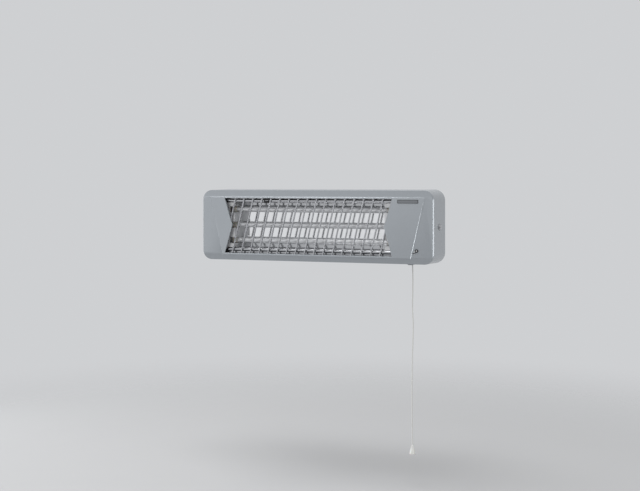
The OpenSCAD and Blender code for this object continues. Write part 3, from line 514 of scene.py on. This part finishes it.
class HEATER_OT_name_place(HeaterStep):
    """Finishes the bare name plate and prints the pull sign beside the cord"""
    bl_idname = "heater.name_place"
    bl_label = "Name plate and sign"

    def execute(self, context):
        look = context.scene.heater_housing
        low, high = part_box("name_plate")
        middle, near, front = (low + high) / 2, low.y, high.y

        def stepped(name, material, steps, hollow, *stands_for):
            """A rectangular plate or frame; steps lists how far each outline is inset and at what depth it lies."""
            points = [(middle.x + a * (PLATE_HALF_X - inset), y, middle.z + b * (PLATE_HALF_Z - inset))
                      for inset, y in steps for a, b in ((-1, -1), (1, -1), (1, 1), (-1, 1))]
            count = len(points)
            faces = []
            for r in range(len(steps) - (0 if hollow else 1)):
                for k in range(4):
                    a, b = 4 * r + k, 4 * r + (k + 1) % 4
                    faces.append((a, b, (b + 4) % count, (a + 4) % count))
            if not hollow:
                faces += [(3, 2, 1, 0), tuple(range(count - 4, count))]
            mesh = mesh_of(name, points, faces, smooth=False)
            new_piece(name, mesh, material, "housing", "badge_grey", *stands_for)

        dark_rim = finish("plate_frame", look.frame, 0.38, metal=0.3, mottle=0.15, size=4, grain=0.3)
        satin = finish("plate_satin", look.plate, 0.34, metal=0.5, mottle=0.07, size=5, stretch=(0.1, 1, 1),
                       grain=0.4, bump=0.06)
        rim, round_off = PLATE_RIM, PLATE_ROUND
        stepped("name_frame", dark_rim, (
            (0, front), (0, near + round_off), (round_off, near), (rim - round_off, near),
            (rim, near + round_off), (rim, front)), True)
        stepped("name_plate_face", satin, (
            (rim, front), (rim, near + 2 * round_off), (rim + round_off, near + round_off)), False, "name_plate")
        inks = {"ink": finish("sign_dark", look.ink, 0.5, mottle=0.2, size=0.6, grain=0.2),
                "light_ink": finish("sign_light", look.light_ink, 0.5, mottle=0.05, size=0.6, grain=0.2)}
        for name, ink, *arc in SIGN_ARCS:
            mesh = self.band(name, front - PRINT_RAISED, front + PRINT_SUNK, *arc)
            new_piece(name, mesh, inks[ink], "housing", "badge_grey")
        return {"FINISHED"}

    def band(self, name, low, high, centre, outer, inner, start, end, steps):
        """A printed arc between two depths."""
        points, faces = [], []
        for i in range(steps + 1):
            a = radians(start + (end - start) * i / steps)
            for r, y in ((outer, low), (outer, high), (inner, high), (inner, low)):
                points.append((centre[0] + r * MM * sin(a), y, centre[1] + r * MM * cos(a)))
        for i in range(steps):
            for k in range(4):
                a, b = 4 * i + k, 4 * i + (k + 1) % 4
                faces.append((a, b, b + 4, a + 4))
        faces += [(3, 2, 1, 0), tuple(4 * steps + k for k in range(4))]
        return mesh_of(name, points, faces, smooth=False)


# Between these heights above or below the middle the reflector turns from mirror to rim, whose darker tint is painted
# shade
RIM_FROM, RIM_TO = 41.5 * MM, 42.5 * MM
RIM_ROUGHNESS = 0.2


class HEATER_OT_reflector(HeaterStep):
    """Polishes the reflector and its end walls"""
    bl_idname = "heater.reflector"
    bl_label = "Reflector"

    def execute(self, context):
        look = context.scene.heater_metal
        mirror = finish("mirror_aluminium", look.mirror, 0.09, metal=1.0, mottle=0.02, size=30, stretch=(0.15, 1, 1),
                        grain=7, bump=0.06, rough_spread=0.3)
        satin = finish("satin_aluminium", look.mirror, 0.42, metal=0.45, mottle=0.04, size=12, stretch=(1, 1, 0.2),
                       grain=0.5, bump=0.05, rough_spread=0.25)
        # The rims get painted shade: a darker tint for the dark surroundings they reflect
        self.paint_rim_shade(mirror, look)
        wear("reflector", mirror)
        wear_all(satin, "reflector_end_left", "reflector_end_right")
        wear_all(screw_steel(), "reflector_rivets", "reflector_screws")
        return {"FINISHED"}

    def paint_rim_shade(self, material, look):
        """Gives the rolled rims, above and below the chamber, a darker tint, which is painted shade standing for the
        dark surroundings they reflect, and a softer gloss.
        """
        tree = material.node_tree
        link = tree.links.new
        shader = tree.nodes["Principled BSDF"]
        axes = node_of(tree, "ShaderNodeSeparateXYZ")
        height = node_of(tree, "ShaderNodeMath", operation="ABSOLUTE")
        rim = node_of(tree, "ShaderNodeMapRange")
        rim.inputs["From Min"].default_value, rim.inputs["From Max"].default_value = RIM_FROM, RIM_TO
        link(place_in(tree), axes.inputs["Vector"])
        link(axes.outputs["Z"], height.inputs[0])
        link(height.outputs[0], rim.inputs["Value"])
        tint = node_of(tree, "ShaderNodeMix", data_type="RGBA")
        gloss = node_of(tree, "ShaderNodeMix", data_type="FLOAT")
        # Painted shade: the rims' darker tint
        tint.inputs["B"].default_value = opaque(look.rim)
        gloss.inputs["B"].default_value = RIM_ROUGHNESS
        link(shader.inputs["Base Color"].links[0].from_socket, tint.inputs["A"])
        link(shader.inputs["Roughness"].links[0].from_socket, gloss.inputs["A"])
        for mix in (tint, gloss):
            link(rim.outputs["Result"], mix.inputs["Factor"])
        link(tint.outputs["Result"], shader.inputs["Base Color"])
        link(gloss.outputs["Result"], shader.inputs["Roughness"])


class HEATER_OT_guard(HeaterStep):
    """Plates the guard's wires and rods and blackens the spring clip"""
    bl_idname = "heater.guard"
    bl_label = "Guard"

    def execute(self, context):
        look = context.scene.heater_metal
        chrome = finish("guard_chrome", look.chrome, 0.2, metal=1.0, mottle=0.05, size=4, stretch=(1, 1, 0.1),
                        grain=0.4, bump=0.03, rough_spread=0.3)
        wear_all(chrome, "guard_wires", "guard_rods")
        wear("guard_clip", finish("black_spring_steel", look.black_spring, 0.35, metal=0.4, mottle=0.3, size=2,
                                  grain=0.3, bump=0.1))
        return {"FINISHED"}


class HEATER_OT_quartz_tubes(HeaterStep):
    """Gives the three heating tubes their milky quartz"""
    bl_idname = "heater.quartz_tubes"
    bl_label = "Quartz tubes"

    def execute(self, context):
        look = context.scene.heater_ceramic
        quartz = finish("milky_quartz", look.quartz, 0.12, metal=look.sheen, mottle=0.05, size=9,
                        stretch=(0.08, 1, 1), grain=0.7, bump=0.03, rough_spread=0.3,
                        Transmission_Weight=look.clearness, IOR=1.46, Coat_Weight=0.6, Coat_Roughness=0.05)
        wear_all(quartz, "quartz_tube_top", "quartz_tube_middle", "quartz_tube_bottom")
        return {"FINISHED"}


class HEATER_OT_heating_coils(HeaterStep):
    """Winds the heating coil of each tube, with its straight ends"""
    bl_idname = "heater.heating_coils"
    bl_label = "Heating coils"

    def execute(self, context):
        look = context.scene.heater_wires
        wire = finish("heating_wire", context.scene.heater_metal.coil, 0.5, metal=0.8, mottle=0.3, size=1.5,
                      grain=0.2, bump=0.1)
        pin_r, wire_r, end_l = 0.7 * MM, 0.45 * MM, 17 * MM
        for place in ("top", "middle", "bottom"):
            node = "heating_coil_" + place
            low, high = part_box(node)
            middle = (low + high) / 2
            outer = (high.z - low.z) / 2
            run = high.x - low.x - 2 * end_l
            start = Vector((low.x + end_l, middle.y, middle.z))
            turns = round(run / look.coil_pitch)
            wound = helix(start, Vector((1, 0, 0)), Vector((0, 0, 1)), outer - wire_r, run, turns, 12)
            parts = [tube_mesh("coil", wound, wire_r, 6)]
            for a, b in ((low.x, start.x + 3 * wire_r), (high.x - end_l - 3 * wire_r, high.x)):
                pin = [Vector((a + (b - a) * t / 6, middle.y, middle.z)) for t in range(7)]
                parts.append(tube_mesh("pin", pin, pin_r, 12))
            new_piece(node + "_wound", joined(node + "_wound", parts), wire, "housing", "heating_wire", node)
        return {"FINISHED"}


class HEATER_OT_tube_ends(HeaterStep):
    """Finishes the ceramic caps, their holders, studs, nuts and connections"""
    bl_idname = "heater.tube_ends"
    bl_label = "Tube ends"

    def execute(self, context):
        look = context.scene.heater_ceramic
        ceramic = finish("white_ceramic", look.ceramic, 0.62, mottle=0.08, size=3, grain=0.35, bump=0.15,
                         specks=(0.5, 0.05, (0.35, 0.3, 0.24)), Subsurface_Weight=0.08, Subsurface_Scale=0.001)
        wear_all(ceramic, "tube_caps_left", "tube_caps_right")
        wear_all(zinc_plate(), "tube_holder_left", "tube_holder_right")
        wear_all(screw_steel(), "holder_screws", "tube_studs", "stud_nuts")
        wear_all(brass_plate(), "link_bar", "lead_lugs")
        return {"FINISHED"}


class HEATER_OT_terminals(HeaterStep):
    """Finishes the terminal block, the cable gland and the clamp"""
    bl_idname = "heater.terminals"
    bl_label = "Terminals and cable inlet"

    def execute(self, context):
        look = context.scene.heater_plastic
        black = finish("black_plastic", look.black, 0.42, mottle=0.25, size=4, grain=0.35, bump=0.15)
        wear_all(ivory_plastic(), "terminal_block", "cord_clamp")
        wear_all(screw_steel(), "terminal_screws", "clamp_screws")
        wear_all(black, "cable_gland", "gland_nut")
        return {"FINISHED"}


class HEATER_OT_pull_switch(HeaterStep):
    """Finishes the pull switch, winds its spring and finishes the cord guide"""
    bl_idname = "heater.pull_switch"
    bl_label = "Pull switch"

    def execute(self, context):
        look = context.scene.heater_plastic
        wear_all(ivory_plastic(), "switch_body", "switch_cover")
        wear_all(grey_plastic(), "switch_slide", "cord_guide")
        wear("switch_cam", finish("red_plastic", look.red, 0.4, mottle=0.08, size=2, grain=0.3, bump=0.06))
        wear("switch_contacts", brass_plate())
        wear_all(screw_steel(), "switch_screws", "cam_pin")
        low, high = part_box("switch_spring")
        wire_r = 0.45 * MM
        middle = (low + high) / 2
        turns = context.scene.heater_wires.spring_turns
        foot = Vector((middle.x, middle.y, low.z + wire_r))
        wound = helix(foot, Vector((0, 0, 1)), Vector((1, 0, 0)), (high.x - low.x) / 2 - wire_r,
                      high.z - low.z - 2 * wire_r, turns, 20)
        spring = new_piece("switch_spring_wound", tube_mesh("switch_spring_wound", wound, wire_r, 8),
                           screw_steel(), "housing", "spring_wire", "switch_spring")
        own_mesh(spring)
        return {"FINISHED"}


# Routes of the leads, and the heights of the switch's contacts and the tubes, in millimetres
COMMON_ROUTE = [(179.7, -42.5, 32), (172, -44.5, 36), (135, -49, 48), (84.96, -51, 50), (34.98, -52, 50),
                (-15, -52, 49), (-64.98, -52, 50), (-114.96, -52, 50), (-165, -53, 48), (-190, -59, 44),
                (-180.6, -69, 40), (-180.6, -76.5, 32.4)]
LIVE_ROUTE = [(179.7, -42.5, 22), (177, -42.5, 22), (170, -45.5, 19), (171, -59, 11), (174, -66, 6),
              (175, -68, 2), (175, -68, 0.3)]
CONTACT_HEIGHTS = (-7.4, -16.4, -25.4)
TUBE_HEIGHTS = (28.8, 0.0, -28.8)


def switched_route(contact_z, tube_z):
    """From a contact blade of the switch to the lug of its tube."""
    return [(172.5, -52.7, contact_z), (172.5, -50, contact_z), (168, -48, contact_z * 0.8 + tube_z * 0.2),
            (161, -55, contact_z * 0.3 + tube_z * 0.7), (158.7, -63.5, tube_z), (152.2, -65, tube_z),
            (149.7, -66.2, tube_z), (149.7, -67.5, tube_z)]


class HEATER_OT_leads(HeaterStep):
    """Lays the insulated leads inside the housing"""
    bl_idname = "heater.leads"
    bl_label = "Leads"

    def execute(self, context):
        look = context.scene.heater_wires
        lead_r = 1.3 * MM
        for node, tint, slot, routes in (
                ("lead_common", look.blue, "lead_blue", [COMMON_ROUTE]),
                ("leads_switched", look.brown, "lead_brown",
                 [switched_route(c, t) for c, t in zip(CONTACT_HEIGHTS, TUBE_HEIGHTS)]),
                ("lead_live", look.black, "lead_black", [LIVE_ROUTE])):
            rubber = finish(slot, tint, 0.4, mottle=0.1, size=3, grain=0.5, bump=0.06, Coat_Weight=0.1)
            parts = [tube_mesh("lead", smooth_line(route, 6), lead_r, 14) for route in routes]
            new_piece(node + "_sleeve", joined(node + "_sleeve", parts), rubber, "housing", slot, node)
        return {"FINISHED"}


# The pull cord in millimetres; its waves are how far it lies to the right and above its upper end
CORD_X, CORD_Y, CORD_TOP, CORD_LENGTH, CORD_D = 178.0, -75.0, -52.0, 341.0, 2.3
CORD_WAVES = [(0, 0), (0, -5), (0, -10), (0.3, -20), (0.7, -35), (0.6, -60), (0, -90), (0.6, -105), (1.4, -120),
              (1, -145), (0, -175), (-0.5, -205), (-0.9, -240), (-0.7, -270), (-0.3, -300), (0, -323), (0, -332),
              (0, -341)]


class HEATER_OT_pull_cord(HeaterStep):
    """Lays the strands of the pull cord, ties its knot and finishes its knob and ferrule"""
    bl_idname = "heater.pull_cord"
    bl_label = "Pull cord"

    def execute(self, context):
        look = context.scene.heater_wires
        yarn = finish("white_cord", look.cord, 0.75, mottle=0.1, size=0.5, grain=0.12, bump=0.35, rough_spread=0.1,
                      Sheen_Weight=0.3)
        route = [(CORD_X + x, CORD_Y, CORD_TOP + z) for x, z in CORD_WAVES]
        line = smooth_line(route, 40)
        radius, turn, strands = CORD_D * MM / 2, look.lay, look.strands
        run = [0.0]
        for a, b in zip(line, line[1:]):
            run.append(run[-1] + (b - a).length)

        def strand_form(i, angle):
            """The cord's radius, which dips between its strands."""
            swirl = strands * (angle + 2 * pi * run[i] / turn)
            return radius * (0.86 + 0.14 * abs(cos(swirl / 2)))

        cord = new_piece("pull_cord_laid", tube_mesh("pull_cord_laid", line, strand_form, 24), yarn, "cord",
                         "white_cord", "pull_cord")
        low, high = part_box("cord_knot")
        middle = (low + high) / 2
        knot_r = 0.95 * MM
        wound = helix(Vector((middle.x, middle.y, low.z + knot_r)), Vector((0, 0, 1)), Vector((1, 0, 0)),
                      (high.x - low.x) / 2 - knot_r, high.z - low.z - 2 * knot_r, 2.0, 24)
        knot = new_piece("cord_knot_tied", tube_mesh("cord_knot_tied", wound, knot_r, 12), yarn, "cord",
                         "white_cord", "cord_knot")
        knob = wear("pull_knob", finish("white_plastic", context.scene.heater_plastic.knob, 0.2, mottle=0.02, size=5,
                                        grain=0.8, bump=0.02, Coat_Weight=0.4, Coat_Roughness=0.08,
                                        Subsurface_Weight=0.1, Subsurface_Scale=0.002))
        wear_all(screw_steel(), "cord_ferrule", "ferrule_pin")
        return {"FINISHED"}


# The camera, fitted to the housing's edges in the photo: place in metres, lens and sensor in millimetres
CAMERA_PLACE = (0.7682, -2.0531, 0.08)
CAMERA_TURN = radians(21.19)
CAMERA_LENS, SENSOR = 64.96, 36.0
CAMERA_SHIFT = -0.0992

# Lamps: name, place, point aimed at, width and height, which power of the stage, roll and spread in degrees
LAMPS = [
    ("front_card", (-0.61, -1.0, -0.05), (-0.61, 0.0, -0.05), 1.25, 0.3, "card", 17, 180),
    ("front_strip", (-0.52, -1.0, 0.26), (-0.3, -0.08, 0.0), 0.85, 0.2, "key", 0, 180),
    ("top_softbox", (-0.4, -0.55, 2.1), (0.0, -0.05, 0.0), 2.0, 1.2, "top", 0, 180),
    ("side_softbox", (-2.0, -1.1, 0.45), (0.0, -0.1, -0.1), 1.2, 1.4, "side", 0, 180),
    ("edge_strip", (1.087, -0.35, -0.03), (0.222, -0.102, 0.0), 0.12, 0.5, "edge", 0, 100),
    ("crease_strip", (0.966, -0.466, -0.278), (0.19, -0.104, 0.0), 0.12, 0.25, "crease", 0, 100),
    ("rim_strip", (-1.15, 0.0, -0.12), (-0.2, -0.1, -0.05), 0.5, 0.5, "rim", 0, 180),
]
# The floor's sides, the radii of its rings, and the distances from the origin over which it fades away
FLOOR_SIDES = 96
FLOOR_RINGS = (0.3, 0.6, 0.9, 1.2, 1.45, 1.7)
FLOOR_FADE = (0.4, 1.6)


class HEATER_OT_stage(HeaterStep):
    """Sets the camera, the floor, the softboxes and the pale room"""
    bl_idname = "heater.stage"
    bl_label = "Stage"

    def execute(self, context):
        look = context.scene.heater_stage
        scene = context.scene
        scene.view_settings.view_transform = "Standard"
        self.camera(scene)
        self.room(scene, look)
        self.floor(scene, look)
        for lamp in LAMPS:
            self.lamp(scene, look, *lamp)
        return {"FINISHED"}

    def camera(self, scene):
        data = bpy.data.cameras.new("camera")
        camera = bpy.data.objects.new("camera", data)
        scene.collection.objects.link(camera)
        camera.location = CAMERA_PLACE
        camera.rotation_euler = (pi / 2, 0.0, CAMERA_TURN)
        data.lens, data.sensor_width, data.shift_y = CAMERA_LENS, SENSOR, CAMERA_SHIFT
        scene.camera = camera

    def lamp(self, scene, look, name, place, target, width, height, level, roll, spread):
        data = bpy.data.lights.new(name, "AREA")
        data.shape, data.size, data.size_y = "RECTANGLE", width, height
        data.energy, data.spread = getattr(look, level), radians(spread)
        lamp = bpy.data.objects.new(name, data)
        scene.collection.objects.link(lamp)
        lamp.location = place
        aim = (Vector(target) - Vector(place)).to_track_quat("-Z", "Y")
        lamp.rotation_euler = (aim @ Quaternion((0, 0, 1), radians(roll))).to_euler()
        lamp.visible_camera = False

    def room(self, scene, look):
        """A pale room for the camera, mirrors and glass, and white light of its own level for the rest."""
        world = bpy.data.worlds.new("pale_room")
        world.use_nodes = True
        tree = world.node_tree
        link = tree.links.new
        seen = tree.nodes["Background"]
        seen.inputs["Color"].default_value = opaque(look.backdrop)
        lit = node_of(tree, "ShaderNodeBackground", Strength=look.sky)
        lit.inputs["Color"].default_value = (1.0, 1.0, 1.0, 1.0)
        rays = node_of(tree, "ShaderNodeLightPath")
        first = node_of(tree, "ShaderNodeMath", operation="MAXIMUM")
        either = node_of(tree, "ShaderNodeMath", operation="MAXIMUM")
        mixed = node_of(tree, "ShaderNodeMixShader")
        link(rays.outputs["Is Camera Ray"], first.inputs[0])
        link(rays.outputs["Is Glossy Ray"], first.inputs[1])
        link(first.outputs[0], either.inputs[0])
        link(rays.outputs["Is Transmission Ray"], either.inputs[1])
        link(either.outputs[0], mixed.inputs["Fac"])
        link(lit.outputs[0], mixed.inputs[1])
        link(seen.outputs[0], mixed.inputs[2])
        link(mixed.outputs[0], tree.nodes["World Output"].inputs["Surface"])
        scene.world = world

    def floor(self, scene, look):
        """A round pale floor that fades into the room."""
        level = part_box("pull_knob")[0].z - look.floor_drop
        sides = FLOOR_SIDES
        points = [(0.0, 0.0, level)] + [(r * cos(2 * pi * k / sides), r * sin(2 * pi * k / sides), level)
                                        for r in FLOOR_RINGS for k in range(sides)]
        faces = [(0, 1 + k, 1 + (k + 1) % sides) for k in range(sides)]
        for ring in range(len(FLOOR_RINGS) - 1):
            for k in range(sides):
                a, b = 1 + ring * sides + k, 1 + ring * sides + (k + 1) % sides
                faces.append((a, a + sides, b + sides, b))
        floor = bpy.data.objects.new("floor", mesh_of("floor", points, faces, smooth=False))
        scene.collection.objects.link(floor)
        cloth = finish("floor_grey", look.floor, 0.85, mottle=0.015, size=60, grain=3, bump=0.02)
        tree = cloth.node_tree
        link = tree.links.new
        shader, output = tree.nodes["Principled BSDF"], tree.nodes["Material Output"]
        far = node_of(tree, "ShaderNodeVectorMath", operation="LENGTH")
        fade = node_of(tree, "ShaderNodeMapRange", interpolation_type="SMOOTHSTEP")
        fade.inputs["From Min"].default_value, fade.inputs["From Max"].default_value = FLOOR_FADE
        clear = node_of(tree, "ShaderNodeBsdfTransparent")
        mixed = node_of(tree, "ShaderNodeMixShader")
        link(place_in(tree), far.inputs[0])
        link(far.outputs["Value"], fade.inputs["Value"])
        link(fade.outputs["Result"], mixed.inputs["Fac"])
        link(shader.outputs[0], mixed.inputs[1])
        link(clear.outputs[0], mixed.inputs[2])
        link(mixed.outputs[0], output.inputs["Surface"])
        floor.data.materials.append(cloth)


# ---- Panel and registration

class HEATER_PT_panel(bpy.types.Panel):
    """Lists the heater's looks and steps"""
    bl_idname = "HEATER_PT_panel"
    bl_label = "Infrared heater"
    bl_space_type = "VIEW_3D"
    bl_region_type = "UI"
    bl_category = "Heater"

    def draw(self, context):
        for name, _ in LOOKS:
            box = self.layout.box()
            group = getattr(context.scene, name)
            for prop in group.__annotations__:
                box.prop(group, prop)
        for step in STEPS:
            self.layout.operator(step.bl_idname)


LOOKS = [("heater_housing", HousingLook), ("heater_metal", MetalLook), ("heater_ceramic", GlassAndCeramicLook),
         ("heater_plastic", PlasticLook), ("heater_wires", WireLook), ("heater_stage", StageLook)]
STEPS = [HEATER_OT_stage, HEATER_OT_pull_cord, HEATER_OT_front_shell, HEATER_OT_rear_cover, HEATER_OT_wall_bracket,
         HEATER_OT_name_place, HEATER_OT_reflector, HEATER_OT_guard, HEATER_OT_quartz_tubes, HEATER_OT_heating_coils,
         HEATER_OT_tube_ends, HEATER_OT_terminals, HEATER_OT_pull_switch, HEATER_OT_leads]


def register():
    for name, group in LOOKS:
        bpy.utils.register_class(group)
        setattr(bpy.types.Scene, name, PointerProperty(type=group))
    for step in STEPS:
        bpy.utils.register_class(step)
    bpy.utils.register_class(HEATER_PT_panel)


def unregister():
    bpy.utils.unregister_class(HEATER_PT_panel)
    for step in reversed(STEPS):
        bpy.utils.unregister_class(step)
    for name, group in reversed(LOOKS):
        delattr(bpy.types.Scene, name)
        bpy.utils.unregister_class(group)


def main():
    register()
    for step in STEPS:
        group, name = step.bl_idname.split(".")
        getattr(getattr(bpy.ops, group), name)()


if __name__ == "__main__":
    main()
